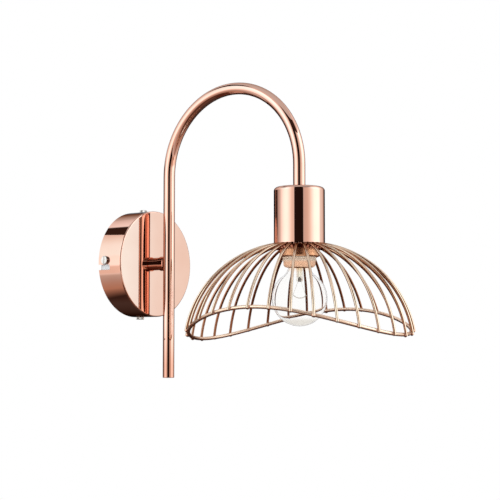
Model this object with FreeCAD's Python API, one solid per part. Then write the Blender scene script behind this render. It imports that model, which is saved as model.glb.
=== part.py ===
import FreeCAD, Part
import math
import os

# Copper-plated hook wall light with a wire cage shade and a small golf-ball bulb.
# Millimetres. +Z is up, the wall is the plane y = 0 and the light stands out along -Y.
# The origin is the centre of the wall bracket's back face, on the canopy's axis.

V = FreeCAD.Vector
UP = V(0, 0, 1)
OUT = V(0, -1, 0)

# Clearances
sliding_gap = 0.3
thread_gap = 0.05
hole_gap = 0.1
seat_gap = 0.1

# Wall canopy
canopy_diameter = 93.0
canopy_depth = 25.5
canopy_wall = 1.0
canopy_edge_radius = 1.2

# Wall bracket and the bayonet that the canopy hangs on
bracket_thickness = 2.0
bracket_arm_width = 16.0
bracket_bend_radius = 2.5
bracket_tab_depth = 14.0
bracket_tab_gap = 0.5
bayonet_turn = 7.4
bayonet_lean = 5.2
bayonet_count = 4
wall_slot_spacing = 60.0
wall_slot_length = 12.0
wall_slot_width = 4.6

# Knurled side screws
side_screw_diameter = 4.0
side_screw_from_wall = 8.1
side_screw_head_diameter = 7.5
side_screw_head_height = 2.0
side_screw_head_edge = 0.4
side_screw_knurl_count = 26
side_screw_knurl_depth = 0.25
notch_width = 4.6
notch_overrun = 2.5
notch_steps = 4
screw_driver_slot = 0.9
screw_driver_depth = 0.9
screw_shank_spare = 1.0

# Stub that carries the hook tube
nipple_diameter = 8.0
nipple_bore = 6.0
nipple_reach_inside = 7.5
nipple_engagement = 3.1
stub_diameter = 11.0
collar_diameter = 12.5
collar_length = 3.7
collar_wrap = 1.8
nipple_nut_width = 12.0
nipple_nut_height = 3.0
toothed_washer_diameter = 14.0
toothed_washer_thickness = 0.8
toothed_washer_teeth = 16
toothed_washer_tooth = 1.0
bush_wall = 0.5
bush_flange_diameter = 9.0
bush_flange_thickness = 1.0
bush_length = 6.0

# Hook tube
tube_diameter = 10.0
tube_wall = 1.0
leg_from_wall = 40.0
hook_radius = 70.0
hook_spring_height = 76.0
tail_length = 99.5
tail_plug_flange = 0.8
tail_plug_length = 7.0
wire_hole_diameter = 6.0
vent_hole_diameter = 1.2
vent_hole_height = -66.0

# Lampholder cup
cup_diameter = 41.5
cup_wall = 1.0
cup_bottom = 11.0
cup_top = 57.0
cup_shoulder_radius = 3.2
cup_washer_diameter = 18.0
cup_washer_thickness = 1.0
cup_nut_width = 14.0
cup_nut_height = 3.0

# Lampholder
holder_boss_diameter = 16.0
holder_boss_length = 7.0
holder_entry_length = 7.2
holder_cap_diameter = 36.0
holder_cap_shoulder = 40.0
holder_cap_bottom = 32.0
holder_wall = 1.6
holder_flange_diameter = 37.0
holder_flange_height = 2.5
holder_thread_diameter = 28.0
holder_thread_depth = 0.8
holder_thread_pitch = 2.0
holder_thread_turns = 7
holder_nose_diameter = 26.0
holder_nose_length = 5.2
holder_nose_rounding = 0.85
holder_mouth_gap = 0.7
holder_deck_bottom = 30.0
holder_deck_top = 37.0
socket_shell_bore = 14.6
socket_shell_wall = 0.4
socket_shell_bottom = 1.0
socket_shell_height = 15.0
holder_terminal_spread = 7.0
holder_terminal_width = 5.0
holder_terminal_depth = 7.0
holder_terminal_height = 5.6
terminal_wire_offset = 1.8
terminal_screw_diameter = 2.5
contact_width = 5.0
contact_thickness = 0.5
contact_root = 3.4
contact_rise = 4.0

# Shade ring on the lampholder's thread
shade_ring_diameter = 32.5
shade_ring_height = 8.8
shade_ring_chamfer = 0.7
shade_ring_groove_width = 1.2
shade_ring_groove_depth = 0.4
shade_ring_groove_places = (0.3, 0.5)

# Wire shade
shade_hub_diameter = 43.0
shade_hub_sheet = 1.2
shade_hub_height = 4.1
shade_turn = 8.5
rib_count = 32
rib_diameter = 2.2
rib_arc_radius = 85.8
rib_start_slope = 8.8
rib_start_drop = 0.3
rib_end_drop = 1.2
rim_wire_diameter = 3.0
rim_weld_sink = 0.5
rim_mean_height = -52.7
rim_wave = 11.5
rim_lean = 1.7
rim_lean_turn = 302.0
rim_spans = 16

# Golf-ball bulb with a small screw cap
bulb_diameter = 45.0
bulb_centre_height = -33.3
bulb_wall = 0.8
bulb_neck_diameter = 18.0
bulb_neck_blend = 10.0
bulb_neck_top = -3.2
bulb_neck_corner = 2.0
bulb_collar_diameter = 13.2
bulb_collar_top = 2.0
bulb_cap_bottom = -2.6
bulb_cap_skirt_top = 2.5
bulb_cap_crest_diameter = 13.9
bulb_cap_root_diameter = 12.7
bulb_cap_wall = 0.3
bulb_thread_pitch = 2.82
bulb_thread_turns = 5
bulb_insulator_height = 3.2
bulb_insulator_diameter = 9.0
bulb_contact_diameter = 4.8
bulb_contact_height = 2.4
stem_diameter = 5.2
stem_bottom = -20.0
stem_flare_height = 5.0
support_diameter = 0.6
filament_diameter = 1.0
filament_half_span = 9.0
filament_height = -31.0
filament_sag = 2.5
filament_bend_radius = 20.0

# Wiring
wire_diameter = 2.0
wire_spacing = 2.3
wire_turn_radius = 4.0
wire_run_share = 0.45
core_spread_height = 6.5
core_entry_height = 2.0

# Terminal block on the bracket
block_poles = 3
block_pitch = 9.5
block_height = -21.0
block_tube_diameter = 7.6
block_tube_length = 15.0
block_base_thickness = 3.0
block_tower_diameter = 6.4
block_tower_height = 10.5
block_tower_spacing = 7.6
block_bore = 3.2
block_sleeve_diameter = 5.0
block_sleeve_length = 12.0
block_screw_diameter = 3.0
block_screw_height = 4.0
block_fixing_diameter = 2.6
block_bar_height = 6.0
block_wire_entry = 3.0
block_wire_straight = 6.0
block_screw_slot = 0.6
block_screw_room = 0.6

# Earth screw and tag on the bracket
earth_screw_height = 20.0
earth_screw_diameter = 4.0
earth_head_diameter = 8.0
earth_head_height = 2.2
earth_tag_thickness = 0.8
earth_tag_diameter = 8.6
earth_barrel_diameter = 3.4
earth_barrel_length = 5.0
earth_neck_width = 3.0
earth_wire_straight = 5.0
earth_wire_entry = 2.0

# Places that follow from the sizes
canopy_radius = canopy_diameter / 2
canopy_inner_radius = canopy_radius - canopy_wall
tube_radius = tube_diameter / 2
reach = leg_from_wall + 2 * hook_radius
holder_axis = V(0, -reach, 0)
collar_front = leg_from_wall - tube_radius - collar_length
cup_washer_top = cup_top - cup_wall
cup_nut_top = cup_washer_top - cup_washer_thickness
holder_boss_top = cup_nut_top - cup_nut_height - sliding_gap
tube_end_height = holder_boss_top - holder_entry_length + seat_gap
holder_shoulder = cup_bottom - seat_gap
holder_thread_end = holder_shoulder - holder_thread_turns * holder_thread_pitch
holder_mouth = holder_thread_end - holder_nose_length
shade_hub_top = holder_shoulder - sliding_gap
shade_hub_underside = shade_hub_top - shade_hub_sheet
shade_ring_top = shade_hub_underside - sliding_gap
rib_start_radius = shade_hub_diameter / 2 - rib_diameter / 2
rib_arc_offset = rib_start_radius - rib_arc_radius * math.sin(math.radians(rib_start_slope))
rib_start_height = shade_hub_top - rib_start_drop
rib_arc_height = rib_start_height - rib_arc_radius * math.cos(math.radians(rib_start_slope))
rim_arc_radius = rib_arc_radius - (rib_diameter + rim_wire_diameter) / 2 + rim_weld_sink
bulb_cap_top = bulb_cap_skirt_top + bulb_thread_turns * bulb_thread_pitch
bulb_insulator_top = bulb_cap_top + bulb_insulator_height
bulb_contact_top = bulb_insulator_top + bulb_contact_height
tab_half_width = bracket_arm_width / 2
tab_plane = math.sqrt((canopy_inner_radius - bracket_tab_gap) ** 2 - tab_half_width ** 2)


def rounded_wire(points, radii, closed=False):
    """Straight runs through the points, joined by tangent arcs of the given radii."""
    points = [V(*p) if isinstance(p, tuple) else p for p in points]
    count = len(points)
    trims = []
    for i, corner in enumerate(points):
        radius = radii[i]
        if radius <= 0 or (not closed and i in (0, count - 1)):
            trims.append((corner, None, corner))
            continue
        back = (points[i - 1] - corner).normalize()
        ahead = (points[(i + 1) % count] - corner).normalize()
        half_turn = (math.pi - back.getAngle(ahead)) / 2
        cut = radius * math.tan(half_turn)
        centre = corner + (back + ahead).normalize() * (radius / math.cos(half_turn))
        middle = centre + (corner - centre).normalize() * radius
        trims.append((corner + back * cut, middle, corner + ahead * cut))
    edges = []
    for i in range(count):
        start, middle, end = trims[i]
        if middle is not None:
            edges.append(Part.Arc(start, middle, end).toShape())
        if i == count - 1 and not closed:
            break
        following = trims[(i + 1) % count][0]
        if end.distanceToPoint(following) > 1e-6:
            edges.append(Part.LineSegment(end, following).toShape())
    return Part.Wire(edges)


def placed(shape, base, direction):
    """Move a piece built on +Z from the origin to its base point and direction."""
    turn = FreeCAD.Rotation(UP, direction)
    shape.Placement = FreeCAD.Placement(base, turn).multiply(shape.Placement)
    return shape


def turned(outline, radii=None, base=V(0, 0, 0), direction=UP):
    """Solid of revolution from an outline of (radius, height) corners."""
    corners = [V(r, 0, h) for r, h in outline]
    wire = rounded_wire(corners, radii or [0] * len(corners), closed=True)
    solid = Part.Face(wire).revolve(V(0, 0, 0), UP, 360)
    return placed(solid, base, direction)


def cylinder(radius, bottom, top, base=V(0, 0, 0), direction=UP):
    """Plain cylinder between two heights along its direction."""
    return Part.makeCylinder(radius, top - bottom, base + direction * bottom, direction)


def sleeve(outer, inner, bottom, top, base=V(0, 0, 0), direction=UP):
    """Plain tube between two heights along its direction."""
    body = cylinder(outer, bottom, top, base, direction)
    return body.cut(cylinder(inner, bottom - 1, top + 1, base, direction))


def block(width, depth, height, centre):
    """Box given by its sizes along X, Y and Z and its centre."""
    corner = centre - V(width / 2, depth / 2, height / 2)
    return Part.makeBox(width, depth, height, corner)


def hexagon(width, bottom, top, bore_radius, base, direction):
    """Hexagon nut with a plain bore."""
    corner_radius = width / 2 / math.cos(math.pi / 6)
    ring = [V(corner_radius * math.cos(math.radians(60 * i)),
              corner_radius * math.sin(math.radians(60 * i)), bottom) for i in range(7)]
    body = Part.Face(Part.makePolygon(ring)).extrude(V(0, 0, top - bottom))
    body = body.common(turned([(0, bottom), (width / 2, bottom), (corner_radius, bottom + 0.6),
                               (corner_radius, top - 0.6), (width / 2, top), (0, top)]))
    return placed(body.cut(cylinder(bore_radius, bottom - 1, top + 1)), base, direction)


def toothed_disc(outer, inner, teeth, tooth_depth, bottom, top):
    """Disc with a saw-toothed or knurled edge, built on +Z."""
    ring = []
    for i in range(2 * teeth + 1):
        radius = outer if i % 2 == 0 else outer - tooth_depth
        angle = math.pi * i / teeth
        ring.append(V(radius * math.cos(angle), radius * math.sin(angle), bottom))
    body = Part.Face(Part.makePolygon(ring)).extrude(V(0, 0, top - bottom))
    return body.cut(cylinder(inner, bottom - 1, top + 1)) if inner else body


def slotted_screw(diameter, length, head_diameter, head_height, base, direction):
    """Cheese-head screw: the head's underside is at the base, its top along the direction."""
    head = turned([(0, 0), (head_diameter / 2, 0), (head_diameter / 2, head_height),
                   (0, head_height)], [0, 0, head_height * 0.3, 0])
    shank = cylinder(diameter / 2, -length, 0)
    depth = min(screw_driver_depth, head_height / 2)
    groove = block(head_diameter + 2, screw_driver_slot, 2 * depth, V(0, 0, head_height))
    return placed(head.fuse(shank).removeSplitter().cut(groove), base, direction)


def about_wall_axis(shape, angle):
    """Turn a piece about the canopy's axis, from +X towards +Z."""
    shape.rotate(V(0, 0, 0), OUT, angle)
    return shape


def at_holder(shape, angle=0.0):
    """Move a piece built on the Z axis to the lampholder's axis, turned about it."""
    shape.rotate(V(0, 0, 0), UP, angle)
    shape.translate(holder_axis)
    return shape


def swept_wire(path, diameter):
    """Round wire of one diameter along a path."""
    start = path.OrderedEdges[0]
    tangent = start.tangentAt(start.FirstParameter)
    point = start.valueAt(start.FirstParameter)
    circle = Part.Wire(Part.makeCircle(diameter / 2, point, tangent))
    return path.makePipeShell([circle], True, False)


def free_radii(points):
    """Bend radius at each inner point, as large as its two runs allow."""
    radii = [0.0]
    for before, corner, after in zip(points, points[1:], points[2:]):
        back = before - corner
        ahead = after - corner
        half_turn = (math.pi - back.getAngle(ahead)) / 2
        shorter = min(back.Length, ahead.Length)
        radii.append(wire_run_share * shorter / math.tan(half_turn))
    return radii + [0.0]


# Wall bracket and canopy

def bracket_arm():
    """One arm of the bracket, along +X, with its end bent forward as a tab."""
    sheet = bracket_thickness
    corners = [V(0, 0, 0), V(tab_plane, 0, 0), V(tab_plane, -bracket_tab_depth, 0),
               V(tab_plane - sheet, -bracket_tab_depth, 0), V(tab_plane - sheet, -sheet, 0),
               V(0, -sheet, 0)]
    radii = [0, bracket_bend_radius, 0, 0, bracket_bend_radius - sheet, 0]
    section = Part.Face(rounded_wire(corners, radii, closed=True))
    arm = section.extrude(V(0, 0, bracket_arm_width))
    arm.translate(V(0, 0, -bracket_arm_width / 2))
    thread = cylinder(side_screw_diameter / 2 + thread_gap, 0, canopy_radius,
                      V(0, -side_screw_from_wall, 0), V(1, 0, 0))
    return arm.cut(thread)


def notch_angles():
    """Angles at which the canopy's notches open to the wall."""
    return [i * 360 / bayonet_count + bayonet_lean for i in range(bayonet_count)]


def screw_angles():
    """Angles of the side screws: the canopy has been turned on past its notches."""
    return [angle - bayonet_turn for angle in notch_angles()]


def wall_slot(centre_x):
    """Slot for a wall screw, lying along X."""
    half = (wall_slot_length - wall_slot_width) / 2
    body = block(2 * half, 3 * bracket_thickness, wall_slot_width, V(centre_x, 0, 0))
    for side in (-half, half):
        end = V(centre_x + side, 0, 0)
        body = body.fuse(cylinder(wall_slot_width / 2, -1.5 * bracket_thickness,
                                  1.5 * bracket_thickness, end, OUT))
    return body


def wall_bracket():
    """Cross of four arms with level wall slots and tapped holes for earth and block."""
    plate = about_wall_axis(bracket_arm(), screw_angles()[0])
    for angle in screw_angles()[1:]:
        plate = plate.fuse(about_wall_axis(bracket_arm(), angle))
    plate = plate.removeSplitter()
    for centre_x in (-wall_slot_spacing / 2, wall_slot_spacing / 2):
        plate = plate.cut(wall_slot(centre_x))
    earth_hole = cylinder(earth_screw_diameter / 2 + thread_gap, -1, bracket_thickness + 1,
                          earth_place(), OUT)
    block_hole = cylinder(block_fixing_diameter / 2 + thread_gap, -1, bracket_thickness + 1,
                          V(0, 0, block_height), OUT)
    return plate.cut(earth_hole).cut(block_hole)


def canopy_notch():
    """L-shaped notch in the canopy's side: in from the wall, then round to the screw."""
    depth = side_screw_from_wall + notch_width / 2 + notch_overrun
    straight = block(6 * canopy_wall, depth + 1, notch_width,
                     V(canopy_radius, -(depth - 1) / 2, 0))
    notch = straight
    for i in range(1, notch_steps + 1):
        bite = cylinder(notch_width / 2, canopy_inner_radius - 3, canopy_radius + 3,
                        V(0, -side_screw_from_wall, 0), V(1, 0, 0))
        notch = notch.fuse(about_wall_axis(bite, -bayonet_turn * i / notch_steps))
    return notch


def canopy():
    """Deep round cup, open to the wall, with its face bored for the nipple."""
    outer, inner = canopy_radius, canopy_inner_radius
    bore = nipple_diameter / 2 + hole_gap
    inside = canopy_depth - canopy_wall
    shell = turned([(outer, 0), (outer, canopy_depth), (bore, canopy_depth), (bore, inside),
                    (inner, inside), (inner, 0)],
                   [0, canopy_edge_radius, 0, 0, canopy_edge_radius - canopy_wall, 0],
                   direction=OUT)
    for angle in notch_angles():
        shell = shell.cut(about_wall_axis(canopy_notch(), angle))
    return shell


def side_screws():
    """Knurled, slotted screws through the canopy's notches into the bracket's tabs."""
    rim = side_screw_head_diameter / 2
    edge = side_screw_head_edge
    top = side_screw_head_height
    shank_length = canopy_radius - tab_plane + bracket_thickness + screw_shank_spare
    screws = []
    for angle in screw_angles():
        head = toothed_disc(rim, 0, side_screw_knurl_count, side_screw_knurl_depth, 0, top)
        bevel = turned([(0, 0), (rim - edge, 0), (rim, edge), (rim, top - edge), (rim - edge, top),
                        (0, top)])
        groove = block(3 * rim, screw_driver_slot, 2 * screw_driver_depth, V(0, 0, top))
        shank = cylinder(side_screw_diameter / 2, -shank_length, 0)
        screw = head.common(bevel).cut(groove).fuse(shank).removeSplitter()
        screw = placed(screw, V(canopy_radius + seat_gap, -side_screw_from_wall, 0), V(1, 0, 0))
        screws.append(about_wall_axis(screw, angle))
    return Part.Compound(screws)


# Stub between the canopy and the hook tube

def nipple():
    """Hollow threaded rod from inside the canopy to the collar on the tube."""
    inner_end = canopy_depth - nipple_reach_inside
    outer_end = collar_front + nipple_engagement
    return sleeve(nipple_diameter / 2, nipple_bore / 2, inner_end, outer_end, direction=OUT)


def nipple_washer():
    """Toothed washer against the inside of the canopy's face."""
    top = canopy_depth - canopy_wall
    disc = toothed_disc(toothed_washer_diameter / 2, nipple_diameter / 2 + hole_gap,
                        toothed_washer_teeth, toothed_washer_tooth,
                        top - toothed_washer_thickness, top)
    return placed(disc, V(0, 0, 0), OUT)


def nipple_nut():
    """Nut that draws the nipple tight from inside the canopy."""
    top = canopy_depth - canopy_wall - toothed_washer_thickness
    return hexagon(nipple_nut_width, top - nipple_nut_height, top,
                   nipple_diameter / 2 + thread_gap, V(0, 0, 0), OUT)


def wire_bush():
    """Plastic bush that keeps the wires off the nipple's inner end."""
    end = canopy_depth - nipple_reach_inside
    back = end - bush_flange_thickness
    flange = bush_flange_diameter / 2
    outer = nipple_bore / 2 - hole_gap
    inner = outer - bush_wall
    return turned([(inner, back), (flange, back), (flange, end), (outer, end),
                   (outer, end + bush_length), (inner, end + bush_length)], direction=OUT)


def stub_sleeve():
    """Plated distance sleeve between the canopy's face and the collar."""
    return sleeve(stub_diameter / 2, nipple_diameter / 2 + hole_gap, canopy_depth,
                  collar_front, direction=OUT)


def saddle_collar():
    """Threaded collar whose end is shaped to the tube's back."""
    collar = sleeve(collar_diameter / 2, nipple_diameter / 2 + thread_gap, collar_front,
                    leg_from_wall - tube_radius + collar_wrap, direction=OUT)
    return collar.cut(cylinder(tube_radius, -collar_diameter, collar_diameter,
                               V(0, -leg_from_wall, 0)))


# Hook tube

def hook_path(bottom, end, offset_x=0.0):
    """Centre line: up the back leg, round the hook, down to the lampholder."""
    crown = hook_spring_height + hook_radius
    points = [V(offset_x, -leg_from_wall, bottom), V(offset_x, -leg_from_wall, crown),
              V(offset_x, -reach, crown), V(offset_x, -reach, end)]
    return points, [0, hook_radius, hook_radius, 0]


def hook_tube():
    """Bent tube with the wire hole behind and a small vent near its tail."""
    path = rounded_wire(*hook_path(tail_plug_flange - tail_length, tube_end_height))
    outer = swept_wire(path, tube_diameter)
    inner = swept_wire(path, tube_diameter - 2 * tube_wall)
    tube = outer.cut(inner)
    tube = tube.cut(cylinder(wire_hole_diameter / 2, leg_from_wall - 2 * tube_radius,
                             leg_from_wall, direction=OUT))
    side = V(-1, 0, 0)
    vent_place = V(0, -leg_from_wall, vent_hole_height)
    return tube.cut(cylinder(vent_hole_diameter / 2, 0, tube_diameter, vent_place, side))


def tail_plug():
    """Pressed-in plug that closes the tube's lower end."""
    plug = turned([(0, 0), (tube_radius, 0), (tube_radius, tail_plug_flange),
                   (tube_radius - tube_wall - thread_gap, tail_plug_flange),
                   (tube_radius - tube_wall - thread_gap, tail_plug_length),
                   (0, tail_plug_length)], [0, 0.4, 0, 0, 0.8, 0])
    return placed(plug, V(0, -leg_from_wall, -tail_length), UP)


# Lampholder and its cup

def lampholder_cup():
    """Plated cup over the lampholder, open below."""
    outer = cup_diameter / 2
    inner = outer - cup_wall
    bore = tube_radius + hole_gap
    under = cup_top - cup_wall
    shell = turned([(outer, cup_bottom), (outer, cup_top), (bore, cup_top), (bore, under),
                    (inner, under), (inner, cup_bottom)],
                   [0, cup_shoulder_radius, 0, 0, cup_shoulder_radius - cup_wall, 0])
    return at_holder(shell)


def cup_washer():
    """Washer under the cup's top."""
    return sleeve(cup_washer_diameter / 2, tube_radius + hole_gap, cup_nut_top,
                  cup_washer_top, holder_axis)


def cup_nut():
    """Nut on the tube's thread that carries the cup."""
    return hexagon(cup_nut_width, cup_nut_top - cup_nut_height, cup_nut_top,
                   tube_radius + thread_gap, holder_axis, UP)


def holder_cap():
    """Upper half of the lampholder: threaded entry, sloping dome and skirt."""
    boss = holder_boss_diameter / 2
    outer = holder_cap_diameter / 2
    inner = outer - holder_wall
    entry = tube_radius + thread_gap
    entry_end = holder_boss_top - holder_entry_length
    boss_foot = holder_boss_top - holder_boss_length
    throat = wire_spacing + wire_diameter
    body = turned([(entry, holder_boss_top), (boss, holder_boss_top), (boss, boss_foot),
                   (outer, holder_cap_shoulder), (outer, holder_cap_bottom),
                   (inner, holder_cap_bottom), (inner, holder_cap_shoulder - 0.8),
                   (boss - 1, boss_foot - 1.6), (throat, boss_foot - 1.6),
                   (throat, entry_end), (entry, entry_end)],
                  [0, 0.8, 2, 3, 0, 0, 2, 0, 0, 0, 0])
    return at_holder(body)


def terminal_pocket(side, gap=0.0):
    """Space of one terminal in the lampholder's deck."""
    height = holder_terminal_height + gap
    return block(holder_terminal_width + 2 * gap, holder_terminal_depth + 2 * gap, height + 1,
                 V(side * holder_terminal_spread, 0, holder_deck_top + (1 - height) / 2))


def holder_body():
    """Lower half: deck for the terminals, bulb chamber and threaded nose with a flange."""
    top_radius = holder_cap_diameter / 2 - holder_wall - seat_gap
    outer = holder_cap_diameter / 2
    flange = holder_flange_diameter / 2
    crest = holder_thread_diameter / 2
    root = crest - holder_thread_depth
    chamber = socket_shell_bore / 2 + socket_shell_wall + hole_gap
    mouth = bulb_neck_diameter / 2 + holder_mouth_gap
    nose = holder_nose_diameter / 2
    ledge = holder_cap_bottom - seat_gap
    outline = [(0, holder_deck_top), (top_radius, holder_deck_top), (top_radius, ledge),
               (outer, ledge), (outer, holder_shoulder + holder_flange_height),
               (flange, holder_shoulder + holder_flange_height), (flange, holder_shoulder)]
    pitch = holder_thread_pitch
    for i in range(holder_thread_turns):
        top = holder_shoulder - i * pitch
        outline += [(root, top), (root, top - 0.35 * pitch), (crest, top - 0.55 * pitch),
                    (crest, top - 0.8 * pitch)]
    outline += [(root, holder_thread_end), (nose, holder_thread_end), (nose, holder_mouth)]
    radii = [0] * (len(outline) - 1) + [holder_nose_rounding * (nose - mouth)]
    outline += [(mouth, holder_mouth), (mouth, bulb_neck_top + holder_mouth_gap),
                (chamber, socket_shell_bottom - seat_gap), (chamber, holder_deck_bottom),
                (0, holder_deck_bottom)]
    radii += [0] * (len(outline) - len(radii))
    body = turned(outline, radii)
    for side in (-1, 1):
        body = body.cut(terminal_pocket(side, seat_gap))
    window = block(contact_thickness + 2 * seat_gap, contact_width + 2 * seat_gap,
                   holder_deck_top, V(-contact_root, 0, holder_deck_bottom))
    return at_holder(body.cut(window))


def socket_shell():
    """Metal screw shell that takes the bulb's cap."""
    bore = socket_shell_bore / 2
    top = socket_shell_bottom + socket_shell_height
    return sleeve(bore + socket_shell_wall, bore, socket_shell_bottom, top, holder_axis)


def centre_contact():
    """Spring tongue that presses on the bulb's tip, hung from the deck."""
    tip = bulb_contact_top + sliding_gap
    upper = holder_deck_top - seat_gap
    half = contact_thickness / 2
    corners = [(-contact_root - half, upper), (-contact_root - half, tip + contact_rise),
               (-1.5, tip), (2.2, tip), (2.2, tip + contact_thickness),
               (-1.2, tip + contact_thickness), (-contact_root + half, tip + contact_rise + 0.3),
               (-contact_root + half, upper)]
    wire = rounded_wire([V(x, -contact_width / 2, z) for x, z in corners],
                        [0, 0.9, 0.9, 0, 0, 0.4, 0.4, 0], closed=True)
    tongue = Part.Face(wire).extrude(V(0, contact_width, 0))
    return at_holder(tongue)


def holder_terminals():
    """Brass terminal blocks in the lampholder's deck."""
    blocks = []
    for side in (-1, 1):
        body = block(holder_terminal_width, holder_terminal_depth, holder_terminal_height,
                     V(side * holder_terminal_spread, 0,
                       holder_deck_top - holder_terminal_height / 2))
        wire_hole = V(side * holder_terminal_spread, -terminal_wire_offset, 0)
        screw_hole = V(side * holder_terminal_spread, terminal_wire_offset, 0)
        body = body.cut(cylinder(wire_diameter / 2 + hole_gap, holder_deck_bottom + 2,
                                 holder_deck_top + 1, wire_hole))
        body = body.cut(cylinder(terminal_screw_diameter / 2 + thread_gap, holder_deck_bottom,
                                 holder_deck_top + 1, screw_hole))
        blocks.append(at_holder(body))
    return Part.Compound(blocks)


def holder_terminal_screws():
    """Screws of the lampholder's terminals."""
    screws = []
    for side in (-1, 1):
        place = holder_axis + V(side * holder_terminal_spread, terminal_wire_offset,
                                holder_deck_top + seat_gap)
        screws.append(slotted_screw(terminal_screw_diameter, holder_terminal_height - 1.4,
                                    terminal_screw_diameter + 1.0, 1.2, place, UP))
    return Part.Compound(screws)


# Shade

def shade_ring():
    """Threaded ring below the shade's hub, with two grip grooves."""
    outer = shade_ring_diameter / 2
    inner = holder_thread_diameter / 2 + sliding_gap
    bottom = shade_ring_top - shade_ring_height
    chamfer = shade_ring_chamfer
    ring = turned([(inner, bottom), (outer - chamfer, bottom), (outer, bottom + chamfer),
                   (outer, shade_ring_top - chamfer), (outer - chamfer, shade_ring_top),
                   (inner, shade_ring_top)])
    for share in shade_ring_groove_places:
        middle = bottom + share * shade_ring_height
        low = middle - shade_ring_groove_width / 2
        ring = ring.cut(sleeve(outer + 1, outer - shade_ring_groove_depth, low,
                               low + shade_ring_groove_width))
    return at_holder(ring)


def shade_hub():
    """Pressed ring at the crown of the shade, with its edge turned down."""
    outer = shade_hub_diameter / 2
    sheet = shade_hub_sheet
    bore = holder_thread_diameter / 2 + sliding_gap
    bottom = shade_hub_top - shade_hub_height
    hub = turned([(outer, bottom), (outer, shade_hub_top), (bore, shade_hub_top),
                  (bore, shade_hub_underside), (outer - sheet, shade_hub_underside),
                  (outer - sheet, bottom)], [0, 1.0, 0, 0, 0.2, 0])
    return at_holder(hub)


def rim_height(angle):
    """Height of the rim wire's centre: two waves a turn, and a slight lean of the whole rim."""
    lean = rim_lean * math.cos(angle - math.radians(rim_lean_turn))
    return rim_mean_height + rim_wave * math.cos(2 * angle) + lean


def rim_climb(angle):
    """How fast the rim's height changes with the angle."""
    lean = -rim_lean * math.sin(angle - math.radians(rim_lean_turn))
    return lean - 2 * rim_wave * math.sin(2 * angle)


def rim_radius(height):
    """Distance of the rim wire's centre from the shade's axis: just inside the ribs' arc."""
    rise = height - rib_arc_height
    return rib_arc_offset + math.sqrt(rim_arc_radius ** 2 - rise ** 2)


def rim_point(angle):
    """Point on the rim wire's centre line."""
    height = rim_height(angle)
    radius = rim_radius(height)
    return V(radius * math.cos(angle), radius * math.sin(angle), height)


def rim_tangent(angle):
    """Direction of the rim wire's centre line."""
    height = rim_height(angle)
    climb = rim_climb(angle)
    rise = height - rib_arc_height
    radius = rim_radius(height)
    spread = -rise * climb / (radius - rib_arc_offset)
    return V(spread * math.cos(angle) - radius * math.sin(angle),
             spread * math.sin(angle) + radius * math.cos(angle), climb).normalize()


def tangent_arc(start, tangent, end):
    """Arc that leaves the start along the tangent and reaches the end."""
    chord = end - start
    normal = chord.cross(tangent).cross(tangent).normalize()
    radius = chord.Length ** 2 / (2 * chord.dot(normal))
    centre = start + normal * radius
    middle = centre + (start + chord * 0.5 - centre).normalize() * abs(radius)
    return Part.Arc(start, middle, end)


def blended_arcs(start, start_way, end, end_way):
    """Two arcs, tangent to each other, from one point and direction to another."""
    gap = end - start
    along = gap.dot(start_way + end_way)
    spread = 2 * gap.dot(gap) * (1 - start_way.dot(end_way))
    reach_out = gap.dot(gap) / (along + math.sqrt(along * along + spread))
    joint = (start + end + (start_way - end_way) * reach_out) * 0.5
    first = tangent_arc(start, start_way, joint)
    back = tangent_arc(end, end_way * -1, joint)
    middle = back.value((back.FirstParameter + back.LastParameter) / 2)
    return [first, Part.Arc(joint, middle, end)]


def rim_path():
    """Closed centre line of the rim: pairs of tangent arcs on the wavy curve."""
    edges = []
    for i in range(rim_spans):
        low = 2 * math.pi * i / rim_spans
        high = 2 * math.pi * (i + 1) / rim_spans
        arcs = blended_arcs(rim_point(low), rim_tangent(low), rim_point(high), rim_tangent(high))
        edges += [arc.toShape() for arc in arcs]
    return Part.Wire(edges)


def rib_solid(index, rim):
    """One rib: an arc of wire from the hub's edge down over the outside of the rim."""
    angle = 2 * math.pi * index / rib_count
    start_turn = math.radians(rib_start_slope)
    end_height = rim_height(angle) - rib_end_drop
    end_turn = math.acos((end_height - rib_arc_height) / rib_arc_radius)
    centre = V(rib_arc_offset, 0, rib_arc_height)
    way = V(math.cos(start_turn), 0, -math.sin(start_turn))
    start = V(rib_start_radius, 0, rib_start_height)
    section = Part.Face(Part.Wire(Part.makeCircle(rib_diameter / 2, start, way)))
    rib = section.revolve(centre, V(0, 1, 0), math.degrees(end_turn - start_turn))
    rib = rib.cut(cylinder(shade_hub_diameter / 2, -shade_hub_diameter, shade_hub_diameter))
    rib.rotate(V(0, 0, 0), UP, math.degrees(angle))
    return rib.cut(rim)


def shade_rim():
    """Wavy rim wire."""
    return at_holder(swept_wire(rim_path(), rim_wire_diameter), shade_turn)


def shade_ribs():
    """All ribs of the shade."""
    rim = swept_wire(rim_path(), rim_wire_diameter)
    return Part.Compound([at_holder(rib_solid(i, rim), shade_turn) for i in range(rib_count)])


# Bulb

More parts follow.
